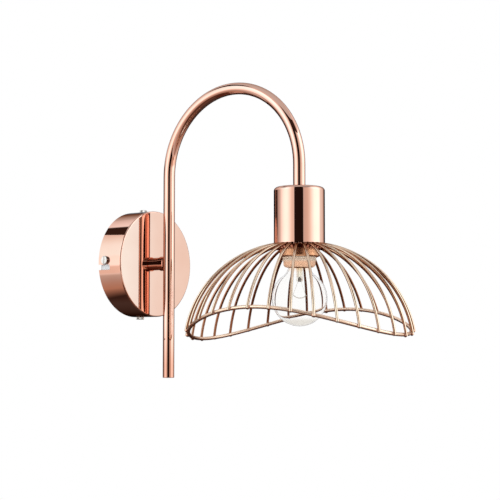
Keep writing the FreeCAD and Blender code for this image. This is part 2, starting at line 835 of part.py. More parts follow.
def bulb_profile(inset):
    """Corners of the bulb's outline from the collar to the bottom, moved in by the inset."""
    ball = bulb_diameter / 2 - inset
    neck = bulb_neck_diameter / 2 - inset
    blend = bulb_neck_blend + inset
    rise = math.sqrt((ball + blend) ** 2 - (neck + blend) ** 2)
    blend_centre = V(neck + blend, 0, bulb_centre_height + rise)
    centre = V(0, 0, bulb_centre_height)
    on_ball = centre + (blend_centre - centre).normalize() * ball
    on_neck = V(neck, 0, blend_centre.z)
    middle = blend_centre + ((on_ball + on_neck) * 0.5 - blend_centre).normalize() * blend
    corner = max(bulb_neck_corner - inset, 0.2)
    top = bulb_neck_top - inset
    collar = bulb_collar_diameter / 2 - inset
    side = centre + V(math.cos(math.radians(-20)), 0, math.sin(math.radians(-20))) * ball
    return [Part.LineSegment(V(collar, 0, bulb_collar_top), V(collar, 0, top)),
            Part.LineSegment(V(collar, 0, top), V(neck - corner, 0, top)),
            Part.Arc(V(neck - corner, 0, top),
                     V(neck - corner, 0, top - corner) + V(1, 0, 1).normalize() * corner,
                     V(neck, 0, top - corner)),
            Part.LineSegment(V(neck, 0, top - corner), on_neck),
            Part.Arc(on_neck, middle, on_ball),
            Part.Arc(on_ball, side, centre - UP * ball)]


def bulb_glass():
    """Clear golf-ball glass with a short neck and a collar inside the cap."""
    outer = bulb_profile(0)
    inner = bulb_profile(bulb_wall)
    ends = [Part.LineSegment(outer[0].StartPoint, inner[0].StartPoint),
            Part.LineSegment(outer[-1].EndPoint, inner[-1].EndPoint)]
    edges = [curve.toShape() for curve in outer + inner + ends]
    wire = Part.Wire(Part.__sortEdges__(edges))
    return at_holder(Part.Face(wire).revolve(V(0, 0, 0), UP, 360))


def bulb_cap():
    """Thin screw cap with a rounded thread."""
    skirt = bulb_collar_diameter / 2 + hole_gap
    crest = bulb_cap_crest_diameter / 2
    root = bulb_cap_root_diameter / 2
    bore = root - bulb_cap_wall
    neck = bulb_insulator_diameter / 2
    low, high = bulb_cap_skirt_top, bulb_cap_top
    edges = [Part.LineSegment(V(skirt, 0, bulb_cap_bottom), V(crest, 0, bulb_cap_bottom)),
             Part.LineSegment(V(crest, 0, bulb_cap_bottom), V(crest, 0, low - 1)),
             Part.LineSegment(V(crest, 0, low - 1), V(root, 0, low))]
    for i in range(bulb_thread_turns):
        bottom = low + i * bulb_thread_pitch
        edges.append(Part.Arc(V(root, 0, bottom), V(crest, 0, bottom + bulb_thread_pitch / 2),
                              V(root, 0, bottom + bulb_thread_pitch)))
    edges += [Part.LineSegment(V(root, 0, high), V(neck, 0, high + 1)),
              Part.LineSegment(V(neck, 0, high + 1), V(neck, 0, high)),
              Part.LineSegment(V(neck, 0, high), V(bore, 0, high - 0.6)),
              Part.LineSegment(V(bore, 0, high - 0.6), V(bore, 0, bulb_collar_top + 0.4)),
              Part.LineSegment(V(bore, 0, bulb_collar_top + 0.4), V(skirt, 0, bulb_collar_top + 0.2)),
              Part.LineSegment(V(skirt, 0, bulb_collar_top + 0.2), V(skirt, 0, bulb_cap_bottom))]
    wire = Part.Wire([edge.toShape() for edge in edges])
    return at_holder(Part.Face(wire).revolve(V(0, 0, 0), UP, 360))


def bulb_insulator():
    """Dark glass button between the cap and its contact."""
    wide = bulb_insulator_diameter / 2 - seat_gap
    narrow = bulb_contact_diameter / 2
    body = turned([(0, bulb_cap_top - 1), (wide, bulb_cap_top - 1), (wide, bulb_cap_top + 1),
                   (narrow, bulb_insulator_top), (0, bulb_insulator_top)], [0, 0, 0.8, 0, 0])
    return at_holder(body)


def bulb_contact():
    """Soldered tip of the bulb's cap."""
    radius = bulb_contact_diameter / 2
    body = turned([(0, bulb_insulator_top), (radius, bulb_insulator_top),
                   (radius, bulb_contact_top), (0, bulb_contact_top)], [0, 0, 1.6, 0])
    return at_holder(body)


def bulb_stem():
    """Glass stem, flared to the neck and drawn to a pinch at its lower end."""
    radius = stem_diameter / 2
    flare = bulb_collar_diameter / 2 - bulb_wall - seat_gap
    top = bulb_collar_top
    body = turned([(radius - 0.8, top), (flare, top), (flare, top - 0.8),
                   (radius, top - stem_flare_height), (radius, stem_bottom),
                   (0, stem_bottom), (0, stem_bottom + 3), (radius - 0.8, stem_bottom + 4)],
                  [0, 0, 0, 2.0, 1.6, 0, 0, 0])
    return at_holder(body)


def filament():
    """Coiled filament as one plain bar between its supports."""
    points = [V(-filament_half_span, 0, filament_height), V(0, 0, filament_height - filament_sag),
              V(filament_half_span, 0, filament_height)]
    path = rounded_wire(points, [0, filament_bend_radius, 0])
    return at_holder(swept_wire(path, filament_diameter))


def filament_supports():
    """Two wires from the stem to the ends of the filament."""
    wires = []
    for side in (-1, 1):
        tip = V(side * (filament_half_span + support_diameter), 0, filament_height)
        root = V(side * (stem_diameter / 2 + support_diameter / 2), 0, stem_bottom + 2)
        knee = V(side * (stem_diameter / 2 + support_diameter / 2), 0, stem_bottom - 1)
        path = rounded_wire([root, knee, tip], [0, 2, 0])
        wires.append(at_holder(swept_wire(path, support_diameter)))
    return Part.Compound(wires)


# Wiring

def core_path(side):
    """One core of the lead: from the terminal block through the stub and tube to the holder."""
    offset = side * wire_spacing / 2
    crown = hook_spring_height + hook_radius
    bend_y = -(canopy_depth - nipple_reach_inside - bush_flange_thickness - wire_turn_radius)
    entry = block_wire_end(side * block_pitch)
    start = [entry, entry + UP * block_wire_straight,
             V(offset, bend_y, -wire_turn_radius), V(offset, bend_y - wire_turn_radius, 0)]
    middle = [V(offset, -leg_from_wall, 0), V(offset, -leg_from_wall, crown),
              V(offset, -reach, crown)]
    drop = [V(offset, -reach, holder_deck_top + core_spread_height),
            V(side * holder_terminal_spread, -reach - terminal_wire_offset,
              holder_deck_top + core_entry_height),
            V(side * holder_terminal_spread, -reach - terminal_wire_offset,
              holder_deck_top - holder_terminal_height / 2)]
    points = start + middle + drop
    radii = free_radii(points)
    radii[4] = wire_turn_radius
    radii[5] = radii[6] = hook_radius
    return points, radii


def core(side):
    """Insulated core of the internal lead."""
    return checked_wire(*core_path(side), "core")


def checked_wire(points, radii, name):
    """Sweep a wire, and print its bends and how its volume agrees with its length."""
    path = rounded_wire(points, radii)
    solid = swept_wire(path, wire_diameter)
    section = math.pi * wire_diameter ** 2 / 4
    ratio = solid.Volume / (section * path.Length)
    bends = " ".join("%.1f" % radius for radius in radii if radius)
    print("%s length %.1f mm, volume ratio %.4f, bend radii %s" % (name, path.Length, ratio, bends))
    return solid


def earth_place():
    """Centre of the earth screw on the bracket's upper arm."""
    lean = math.radians(90 + bayonet_lean - bayonet_turn)
    return V(earth_screw_height * math.cos(lean), 0, earth_screw_height * math.sin(lean))


def earth_barrel_top():
    """Centre of the upper end of the earth tag's barrel."""
    below = earth_tag_diameter / 2 + hole_gap
    return earth_place() + V(0, -(bracket_thickness + earth_barrel_diameter / 2), -below)


def earth_screw():
    """Earth screw with its head on the tag."""
    seat = bracket_thickness + earth_tag_thickness
    return slotted_screw(earth_screw_diameter, seat - seat_gap, earth_head_diameter,
                         earth_head_height, earth_place() + OUT * seat, OUT)


def earth_tag():
    """Ring tag with its crimped barrel."""
    low, high = bracket_thickness, bracket_thickness + earth_tag_thickness
    ring = sleeve(earth_tag_diameter / 2, earth_screw_diameter / 2 + hole_gap, low, high,
                  earth_place(), OUT)
    start = earth_screw_diameter / 2 + 2 * hole_gap
    neck_length = earth_tag_diameter / 2 + earth_barrel_diameter / 2 - start
    neck = block(earth_neck_width, earth_tag_thickness, neck_length,
                 earth_place() + V(0, -(low + high) / 2, -start - neck_length / 2))
    top = earth_barrel_top()
    barrel = cylinder(earth_barrel_diameter / 2, 0, earth_barrel_length, top, UP * -1)
    bore = cylinder(wire_diameter / 2 + hole_gap, -1, earth_barrel_length + 1, top, UP * -1)
    return ring.fuse(neck).fuse(barrel).cut(bore)


def earth_wire():
    """Earth core from the block's middle pole up to the tag's barrel."""
    entry = block_wire_end(0)
    mouth = earth_barrel_top() - UP * earth_barrel_length
    points = [entry, entry + UP * block_wire_straight, mouth - UP * earth_wire_straight,
              mouth + UP * earth_wire_entry]
    return checked_wire(points, free_radii(points), "earth core")


# Terminal block

def block_poles_x():
    """X of each pole of the terminal block."""
    return [(i - (block_poles - 1) / 2) * block_pitch for i in range(block_poles)]


def block_centre_y():
    """Y of the terminal block's wire bores."""
    return -(bracket_thickness + block_base_thickness + block_tube_diameter / 2)


def block_wire_end(x):
    """Where a wire ends inside one pole of the terminal block."""
    return V(x, block_centre_y(), block_height + block_tube_length / 2 - block_wire_entry)


def terminal_block():
    """Plastic terminal block: base bar, a tube for each pole and two screw towers on each."""
    half = block_tube_length / 2
    width = block_pitch * (block_poles - 1) + block_tube_diameter
    base_depth = block_base_thickness + block_tube_diameter / 2
    body = block(width, base_depth, block_bar_height,
                 V(0, -bracket_thickness - base_depth / 2, block_height))
    for x in block_poles_x():
        place = V(x, block_centre_y(), block_height)
        body = body.fuse(cylinder(block_tube_diameter / 2, -half, half, place))
        for side in (-0.5, 0.5):
            foot = place + UP * side * block_tower_spacing
            body = body.fuse(cylinder(block_tower_diameter / 2, 0,
                                      block_tower_height - block_base_thickness, foot, OUT))
    for x in block_poles_x():
        place = V(x, block_centre_y(), block_height)
        body = body.cut(cylinder(block_sleeve_diameter / 2 + seat_gap, -half - 1, half + 1, place))
        for side in (-0.5, 0.5):
            foot = place + UP * side * block_tower_spacing
            body = body.cut(cylinder(block_screw_diameter / 2 + block_screw_room, 0,
                                     block_tower_height, foot, OUT))
    return body


def block_sleeves():
    """Brass sleeve in each pole of the terminal block."""
    half = block_sleeve_length / 2
    sleeves = []
    for x in block_poles_x():
        place = V(x, block_centre_y(), block_height)
        body = sleeve(block_sleeve_diameter / 2, block_bore / 2, -half, half, place)
        for side in (-0.5, 0.5):
            foot = place + UP * side * block_tower_spacing
            body = body.cut(cylinder(block_screw_diameter / 2 + thread_gap, 0,
                                     block_sleeve_diameter, foot, OUT))
        sleeves.append(body)
    return Part.Compound(sleeves)


def block_screws():
    """Two grub screws in each pole of the terminal block."""
    screws = []
    for x in block_poles_x():
        for side in (-0.5, 0.5):
            foot = V(x, block_centre_y(), block_height + side * block_tower_spacing)
            bottom = wire_diameter / 2 + seat_gap
            screw = cylinder(block_screw_diameter / 2, bottom, bottom + block_screw_height)
            groove = block(block_screw_diameter + 1, block_screw_slot, 2 * block_screw_slot,
                           V(0, 0, bottom + block_screw_height))
            screws.append(placed(screw.cut(groove), foot, OUT))
    return Part.Compound(screws)


def main():
    """Build every piece and write it under its own name."""
    parts = {
        "wall_bracket": wall_bracket(),
        "canopy": canopy(),
        "canopy_side_screws": side_screws(),
        "nipple": nipple(),
        "nipple_washer": nipple_washer(),
        "nipple_nut": nipple_nut(),
        "wire_bush": wire_bush(),
        "stub_sleeve": stub_sleeve(),
        "saddle_collar": saddle_collar(),
        "hook_tube": hook_tube(),
        "tail_plug": tail_plug(),
        "lampholder_cup": lampholder_cup(),
        "cup_washer": cup_washer(),
        "cup_nut": cup_nut(),
        "holder_cap": holder_cap(),
        "holder_body": holder_body(),
        "socket_shell": socket_shell(),
        "centre_contact": centre_contact(),
        "holder_terminals": holder_terminals(),
        "holder_terminal_screws": holder_terminal_screws(),
        "shade_ring": shade_ring(),
        "shade_hub": shade_hub(),
        "shade_ribs": shade_ribs(),
        "shade_rim": shade_rim(),
        "bulb_glass": bulb_glass(),
        "bulb_cap": bulb_cap(),
        "bulb_insulator": bulb_insulator(),
        "bulb_contact": bulb_contact(),
        "bulb_stem": bulb_stem(),
        "filament": filament(),
        "filament_supports": filament_supports(),
        "live_wire": core(1),
        "neutral_wire": core(-1),
        "earth_wire": earth_wire(),
        "earth_tag": earth_tag(),
        "earth_screw": earth_screw(),
        "terminal_block": terminal_block(),
        "terminal_block_sleeves": block_sleeves(),
        "terminal_block_screws": block_screws(),
    }
    os.makedirs("parts", exist_ok=True)
    for name, shape in parts.items():
        box = shape.BoundBox
        print("%-24s solids %2d valid %s volume %10.1f  x %.1f %.1f  y %.1f %.1f  z %.1f %.1f" % (
            name, len(shape.Solids), shape.isValid(), shape.Volume, box.XMin, box.XMax,
            box.YMin, box.YMax, box.ZMin, box.ZMax))
        shape.exportStep("parts/%s.step" % name)


main()
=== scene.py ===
"""Looks of a copper hook wall light with a wire cage shade, dressed over its construction model."""

import logging
import math
from dataclasses import dataclass
from enum import Enum
from typing import Sequence

import bmesh
import bpy
from mathutils import Matrix, Vector


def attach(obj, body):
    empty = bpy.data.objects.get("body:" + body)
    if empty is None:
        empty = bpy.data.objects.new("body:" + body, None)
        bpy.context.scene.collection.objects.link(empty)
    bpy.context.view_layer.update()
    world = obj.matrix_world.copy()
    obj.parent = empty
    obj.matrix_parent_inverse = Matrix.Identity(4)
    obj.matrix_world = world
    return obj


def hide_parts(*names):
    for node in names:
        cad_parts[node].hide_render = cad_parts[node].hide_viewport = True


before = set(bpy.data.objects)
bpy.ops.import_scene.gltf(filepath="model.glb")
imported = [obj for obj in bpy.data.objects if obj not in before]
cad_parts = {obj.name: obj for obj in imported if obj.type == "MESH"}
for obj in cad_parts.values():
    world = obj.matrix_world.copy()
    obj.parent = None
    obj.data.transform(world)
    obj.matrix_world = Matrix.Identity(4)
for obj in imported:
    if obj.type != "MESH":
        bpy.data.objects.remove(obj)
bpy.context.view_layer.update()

LOG = logging.getLogger("wall_light")
MM = 0.001
Colour = tuple[float, float, float]


# Shading helpers

class Sheet:
    """One material's node sheet."""

    # Sockets of a Mix node that is set to colours
    MIX_COLOURS = (6, 7)
    MIX_RESULT = 2

    def __init__(self, name: str) -> None:
        """Start an empty material.

        Args:
            name: The material's name.
        """
        self.material = bpy.data.materials.new(name)
        self.material.use_nodes = True
        self.tree = self.material.node_tree
        self.tree.nodes.clear()
        self.output = self.tree.nodes.new("ShaderNodeOutputMaterial")

    def node(self, kind: str, settings: dict | None = None, **inputs: object) -> bpy.types.Node:
        """Add a node.

        Args:
            kind: Node type without its ShaderNode prefix.
            settings: Properties of the node itself.
            inputs: Input sockets by name, with spaces as underscores, or by number as _0, _1
                and so on; a socket is linked, anything else becomes the input's value.

        Returns:
            The new node.
        """
        made = self.tree.nodes.new("ShaderNode" + kind)
        for key, value in (settings or {}).items():
            setattr(made, key, value)
        for key, value in inputs.items():
            socket = made.inputs[int(key[1:])] if key[1:].isdigit() else made.inputs[key.replace("_", " ")]
            if isinstance(value, bpy.types.NodeSocket):
                self.tree.links.new(value, socket)
            else:
                socket.default_value = value
        return made

    def place(self, scale: Sequence[float] = (1, 1, 1)) -> bpy.types.NodeSocket:
        """Object coordinates, stretched by a scale."""
        coordinates = self.node("TexCoord")
        return self.node("Mapping", Vector=coordinates.outputs["Object"],
                         Scale=tuple(scale)).outputs["Vector"]

    def height(self) -> bpy.types.NodeSocket:
        """Height above the frame's origin, in metres."""
        coordinates = self.node("TexCoord")
        return self.node("SeparateXYZ", Vector=coordinates.outputs["Object"]).outputs["Z"]

    def noise(self, scale: float, detail: float = 2.0, roughness: float = 0.5,
              stretch: Sequence[float] = (1, 1, 1)) -> bpy.types.NodeSocket:
        """Noise on object coordinates, from 0 to 1."""
        return self.node("TexNoise", Vector=self.place(stretch), Scale=scale, Detail=detail,
                         Roughness=roughness).outputs["Fac"]

    def between(self, factor: bpy.types.NodeSocket, low: float, high: float,
                start: float = 0.3, end: float = 0.7) -> bpy.types.NodeSocket:
        """Map a factor's span from start to end onto low to high."""
        return self.node("MapRange", Value=factor, From_Min=start, From_Max=end,
                         To_Min=low, To_Max=high).outputs["Result"]

    def blend(self, factor: bpy.types.NodeSocket, first: object, second: object) -> bpy.types.NodeSocket:
        """Mix two colours.

        Args:
            factor: Share of the second colour, from 0 to 1.
            first: Colour value or socket.
            second: Colour value or socket.

        Returns:
            The mixed colour.
        """
        made = self.node("Mix", {"data_type": "RGBA"}, _0=factor)
        for index, value in zip(self.MIX_COLOURS, (first, second)):
            if isinstance(value, bpy.types.NodeSocket):
                self.tree.links.new(value, made.inputs[index])
            else:
                made.inputs[index].default_value = (*value, 1.0)
        return made.outputs[self.MIX_RESULT]

    def bump(self, height: bpy.types.NodeSocket, distance: float, strength: float,
             under: bpy.types.NodeSocket | None = None) -> bpy.types.NodeSocket:
        """Bump from a height.

        Args:
            height: The height, from 0 to 1.
            distance: What a height of 1 stands for, in metres.
            strength: The bump's strength.
            under: Normal that the bump lies on, if there is one.

        Returns:
            The bumped normal.
        """
        made = self.node("Bump", Height=height, Distance=distance, Strength=strength)
        if under is not None:
            self.tree.links.new(under, made.inputs["Normal"])
        return made.outputs["Normal"]

    def surface(self, **inputs: object) -> bpy.types.Material:
        """Close the sheet with one principled surface.

        Args:
            inputs: Inputs of the principled shader by name, with spaces as underscores.

        Returns:
            The finished material.
        """
        shader = self.node("BsdfPrincipled", **inputs)
        self.tree.links.new(shader.outputs["BSDF"], self.output.inputs["Surface"])
        return self.material


@dataclass(frozen=True)
class Metal:
    """A bare or plated metal with its polish marks."""

    name: str
    tone: Colour
    shade: Colour
    roughness: tuple[float, float]
    patch_scale: float = 40.0
    wave_height: float = 0.0
    wave_scale: float = 60.0
    brush_height: float = 0.0
    brush_stretch: tuple[float, float, float] = (1.0, 1.0, 1.0)
    brush_scale: float = 900.0
    edge: Colour = (1.0, 1.0, 1.0)
    metallic: float = 1.0

    def build(self) -> bpy.types.Material:
        """Build the metal, whose tone and gloss vary in patches and whose polish marks are bump.

        Returns:
            The metal's material.
        """
        sheet = Sheet(self.name)
        patches = sheet.noise(self.patch_scale, 3.0)
        colour = self.toned(sheet, sheet.blend(sheet.between(patches, 0.0, 1.0), self.tone, self.shade))
        smears = sheet.noise(self.patch_scale * 3.1, 4.0, 0.6)
        rough = sheet.between(smears, *self.roughness)
        inputs: dict[str, object] = {"Base_Color": colour, "Metallic": self.metallic,
                                     "Roughness": rough,
                                     "Specular_Tint": (*self.edge, 1.0)}
        normal = None
        if self.wave_height:
            normal = sheet.bump(sheet.noise(self.wave_scale, 1.0), self.wave_height, 1.0)
        if self.brush_height:
            grain = sheet.noise(self.brush_scale, 2.0, 0.6, self.brush_stretch)
            normal = sheet.bump(grain, self.brush_height, 1.0, normal)
        if normal is not None:
            inputs["Normal"] = normal
        return sheet.surface(**inputs)

    def toned(self, sheet: Sheet, colour: bpy.types.NodeSocket) -> bpy.types.NodeSocket:
        """The metal's colour as it is, for finishes that are the same all round."""
        return colour


@dataclass(frozen=True)
class CageWire(Metal):
    """Plated wire of the cage with painted light and shade: pale where it faces away from a middle point,
    painted brown shade where it faces in.
    """

    # Painted shade: brown for the side that faces the middle point
    painted_shade: Colour = (0.47, 0.23, 0.13)
    middle: tuple[float, float, float] = (0.0, -180.0, -60.0)
    turn_from: float = 0.0
    turn_to: float = 0.6

    def toned(self, sheet: Sheet, colour: bpy.types.NodeSocket) -> bpy.types.NodeSocket:
        """Paint shade: make the colour run from the painted shade tone to the given one as the surface turns
        outward.

        Args:
            sheet: The sheet that gets the nodes.
            colour: The colour of the side that faces out.

        Returns:
            The mixed colour.
        """
        coordinates = sheet.node("TexCoord")
        middle = tuple(value * MM for value in self.middle)
        away = sheet.node("VectorMath", {"operation": "SUBTRACT"}, _0=coordinates.outputs["Object"],
                          _1=middle)
        outward = sheet.node("VectorMath", {"operation": "NORMALIZE"}, _0=away.outputs["Vector"])
        facing = sheet.node("VectorMath", {"operation": "DOT_PRODUCT"}, _0=outward.outputs["Vector"],
                            _1=coordinates.outputs["Normal"])
        share = sheet.between(facing.outputs["Value"], 0.0, 1.0, self.turn_from, self.turn_to)
        # Painted light and shade: pale facing out, painted brown shade facing in
        return sheet.blend(share, self.painted_shade, colour)


@dataclass(frozen=True)
class Moulded:
    """A moulded plastic with a fine skin and slight mottling; where it has a foot colour, a painted
    reflection of the copper makes it warmer towards its foot.
    """

    name: str
    tone: Colour
    shade: Colour
    roughness: tuple[float, float]
    skin_height: float = 0.000008
    skin_scale: float = 1800.0
    # Painted reflection: a warm copper glow painted on the foot, between two heights in millimetres
    foot: Colour | None = None
    painted_copper_from: float = 0.0
    painted_copper_to: float = 0.0

    def build(self) -> bpy.types.Material:
        """Build the plastic.

        Returns:
            The plastic's material.
        """
        sheet = Sheet(self.name)
        mottle = sheet.noise(90.0, 3.0)
        colour = sheet.blend(sheet.between(mottle, 0.0, 1.0), self.tone, self.shade)
        # Painted reflection of the copper, blended in towards the foot
        if self.foot:
            fall = sheet.between(sheet.height(), 1.0, 0.0, self.painted_copper_to * MM, self.painted_copper_from * MM)
            colour = sheet.blend(fall, colour, self.foot)
        rough = sheet.between(sheet.noise(260.0, 3.0), *self.roughness)
        skin = sheet.bump(sheet.noise(self.skin_scale, 2.0), self.skin_height, 0.6)
        return sheet.surface(Base_Color=colour, Roughness=rough, Normal=skin)


@dataclass(frozen=True)
class Sheath:
    """Wire insulation, with a second colour in a lengthwise stripe where it has one."""

    name: str
    tone: Colour
    stripe: Colour | None = None

    def build(self) -> bpy.types.Material:
        """Build the insulation.

        Returns:
            The insulation's material.
        """
        sheet = Sheet(self.name)
        grain = sheet.noise(700.0, 3.0)
        if self.stripe:
            bands = sheet.node("TexWave", {"wave_type": "BANDS", "bands_direction": "X"},
                               Vector=sheet.place(), Scale=160.0, Distortion=0.4)
            sharp = sheet.between(bands.outputs["Fac"], 0.0, 1.0, 0.45, 0.55)
            colour = sheet.blend(sharp, self.tone, self.stripe)
        else:
            darker = tuple(channel * 0.75 for channel in self.tone)
            colour = sheet.blend(sheet.between(grain, 0.0, 1.0), self.tone, darker)
        rough = sheet.between(grain, 0.35, 0.5)
        return sheet.surface(Base_Color=colour, Roughness=rough,
                             Normal=sheet.bump(grain, 0.00003, 0.5))


@dataclass(frozen=True)
class ClearGlass:
    """Thin blown glass with painted light: a painted glow that runs warmer towards the height where the
    metal cap and the copper show in it, and painted shade that makes it greyer at its bottom.
    """

    name: str
    tone: Colour
    # Painted glow: a warmer colour painted where the cap and copper show in the glass, between two heights
    # in millimetres
    painted_warm: Colour
    painted_warm_from: float
    painted_warm_to: float
    wave_height: float
    bend: float
    # Painted shade: grey painted on the bottom of the glass, between two heights in millimetres
    base: Colour | None = None
    painted_base_from: float = 0.0
    painted_base_to: float = 0.0

    def build(self) -> bpy.types.Material:
        """Build the glass, with the slow waves of blown glass as bump.

        Returns:
            The glass's material.
        """
        sheet = Sheet(self.name)
        height = sheet.height()
        # Painted glow, warmer towards the cap
        rise = sheet.between(height, 0.0, 1.0, self.painted_warm_from * MM, self.painted_warm_to * MM)
        colour = sheet.blend(rise, self.tone, self.painted_warm)
        # Painted shade, greyer towards the bottom
        if self.base:
            fall = sheet.between(height, 1.0, 0.0, self.painted_base_to * MM, self.painted_base_from * MM)
            colour = sheet.blend(fall, colour, self.base)
        waves = sheet.bump(sheet.noise(55.0, 1.0), self.wave_height, 1.0)
        rough = sheet.between(sheet.noise(120.0, 3.0), 0.0, 0.004)
        return sheet.surface(Base_Color=colour, Roughness=rough, IOR=self.bend,
                             Transmission_Weight=1.0, Normal=waves)


class Finish(Enum):
    """Every finish on the light."""

    COPPER = Metal("polished_copper_plate", (0.93, 0.60, 0.49), (0.90, 0.56, 0.45), (0.015, 0.035),
                   wave_height=0.00002, wave_scale=45.0, edge=(0.10, 0.07, 0.065))
    # Rib wire with painted light and shade: pale outside the cage, painted brown shade inside it
    COPPER_WIRE = CageWire("copper_plated_wire", (1.0, 0.82, 0.64), (1.0, 0.74, 0.55), (0.12, 0.20),
                           patch_scale=120.0, brush_height=0.00002, brush_scale=700.0,
                           edge=(0.10, 0.03, 0.02))
    # Rim wire with painted light and shade: pale where it faces up, painted brown shade where it faces down
    RIM_WIRE = CageWire("copper_plated_rim_wire", (1.0, 0.82, 0.65), (1.0, 0.74, 0.56), (0.18, 0.28),
                        patch_scale=120.0, brush_height=0.00002, brush_scale=700.0,
                        edge=(0.45, 0.28, 0.22), metallic=0.82, painted_shade=(0.26, 0.10, 0.06),
                        middle=(0.0, -180.0, -400.0), turn_from=-0.6, turn_to=0.1)
    # Painted shade: the hub's copper plating is painted dark brown where it sits under the cup
    SHADED_HUB = Metal("copper_hub_plate_painted_shade", (0.50, 0.20, 0.13), (0.38, 0.14, 0.09), (0.10, 0.20),
                patch_scale=150.0, brush_height=0.00002)
    WELD = Metal("copper_plated_weld", (0.78, 0.46, 0.35), (0.60, 0.33, 0.24), (0.18, 0.30),
                 patch_scale=500.0, brush_height=0.00012, brush_scale=900.0)
    RING = Metal("copper_brown_ring", (0.92, 0.50, 0.28), (0.78, 0.40, 0.22), (0.24, 0.36),
                 patch_scale=90.0, brush_height=0.00001, brush_scale=1200.0,
                 brush_stretch=(1.0, 1.0, 0.15))
    ZINC = Metal("bright_zinc", (0.74, 0.75, 0.77), (0.62, 0.65, 0.68), (0.32, 0.46),
                 patch_scale=70.0, brush_height=0.00002, brush_scale=800.0,
                 brush_stretch=(0.1, 1.0, 1.0), metallic=0.7)
    NICKEL = Metal("nickel_screw", (0.78, 0.77, 0.74), (0.66, 0.65, 0.63), (0.08, 0.18),
                   patch_scale=300.0, brush_height=0.00003, brush_scale=1600.0)
    BRASS = Metal("bright_brass", (0.86, 0.66, 0.34), (0.76, 0.55, 0.25), (0.12, 0.25),
                  patch_scale=150.0, brush_height=0.00003)
    CAP_METAL = Metal("rolled_cap_metal", (0.80, 0.78, 0.72), (0.70, 0.67, 0.60), (0.14, 0.26),
                      patch_scale=200.0, brush_height=0.00003)
    SOLDER = Metal("dull_solder", (0.62, 0.62, 0.61), (0.48, 0.48, 0.47), (0.30, 0.50),
                   patch_scale=600.0, brush_height=0.0001, brush_scale=1400.0)
    SEAL = Moulded("dark_seal_glass", (0.24, 0.21, 0.19), (0.30, 0.26, 0.23), (0.15, 0.3))
    TUNGSTEN = Metal("drawn_tungsten", (0.80, 0.76, 0.68), (0.62, 0.58, 0.52), (0.25, 0.40),
                     patch_scale=900.0)
    # Cream holder plastic, with a painted copper reflection on its foot
    CREAM = Moulded("cream_holder_plastic", (0.80, 0.66, 0.52), (0.72, 0.57, 0.44), (0.28, 0.42),
                    foot=(0.86, 0.50, 0.31), painted_copper_from=-2.5, painted_copper_to=-4.5)
    WHITE = Moulded("white_moulding", (0.84, 0.84, 0.81), (0.78, 0.78, 0.75), (0.35, 0.5))
    BLACK_GLASS = Moulded("black_cap_glass", (0.02, 0.02, 0.025), (0.035, 0.035, 0.04), (0.08, 0.2))
    LIVE = Sheath("brown_sheath", (0.16, 0.055, 0.02))
    NEUTRAL = Sheath("blue_sheath", (0.02, 0.07, 0.35))
    EARTH = Sheath("green_yellow_sheath", (0.62, 0.52, 0.03), (0.05, 0.30, 0.04))
    # Bulb glass with a painted glow by its neck and painted shade at its bottom
    BULB_GLASS = ClearGlass("clear_bulb_glass", (0.995, 0.992, 0.985), (0.98, 0.80, 0.64),
                            -12.0, -6.0, 0.00001, 1.12, (0.90, 0.88, 0.845), -48.5, -51.5)
    # Stem glass with a painted glow towards its top
    STEM_GLASS = ClearGlass("stem_glass", (1.0, 0.97, 0.90), (0.97, 0.84, 0.66),
                            -14.0, -2.0, 0.00005, 1.4)


class Wardrobe:
    """Builds each finish once and puts it on the construction model's nodes."""

    def __init__(self) -> None:
        """Start with no finish built."""
        self.made: dict[Finish, bpy.types.Material] = {}

    def material(self, finish: Finish) -> bpy.types.Material:
        """Find the material of a finish, and build it at its first use.

        Args:
            finish: The finish.

        Returns:
            Its material.
        """
        if finish not in self.made:
            self.made[finish] = finish.value.build()
        return self.made[finish]

    def dress(self, finish: Finish, *nodes: str) -> None:
        """Give construction nodes a finish.

        Args:
            finish: The finish.
            nodes: Names of the nodes.
        """
        for name in nodes:
            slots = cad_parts[name].data.materials
            slots.clear()
            slots.append(self.material(finish))
            LOG.info("node %s wears %s", name, self.material(finish).name)


NODE_FINISHES: dict[Finish, tuple[str, ...]] = {
    Finish.COPPER: ("canopy", "stub_sleeve", "saddle_collar", "hook_tube", "tail_plug", "lampholder_cup"),
    Finish.COPPER_WIRE: ("shade_ribs",),
    Finish.RIM_WIRE: ("shade_rim",),
    # The hub wears the copper plating with painted shade
    Finish.SHADED_HUB: ("shade_hub",),
    Finish.RING: ("shade_ring",),
    Finish.ZINC: ("wall_bracket", "nipple", "nipple_washer", "nipple_nut", "cup_washer", "cup_nut",
                  "earth_screw", "terminal_block_screws"),
    Finish.NICKEL: ("canopy_side_screws", "holder_terminal_screws", "earth_tag"),
    Finish.BRASS: ("socket_shell", "centre_contact", "holder_terminals", "terminal_block_sleeves"),
    Finish.CAP_METAL: ("bulb_cap",),
    Finish.SOLDER: ("bulb_contact",),
    Finish.TUNGSTEN: ("filament", "filament_supports"),
    Finish.CREAM: ("holder_cap", "holder_body"),
    Finish.WHITE: ("terminal_block", "wire_bush"),
    Finish.BLACK_GLASS: ("bulb_insulator",),
    Finish.LIVE: ("live_wire",),
    Finish.NEUTRAL: ("neutral_wire",),
    Finish.EARTH: ("earth_wire",),
    Finish.BULB_GLASS: ("bulb_glass",),
    Finish.STEM_GLASS: ("bulb_stem",),
}


# Modelled pieces

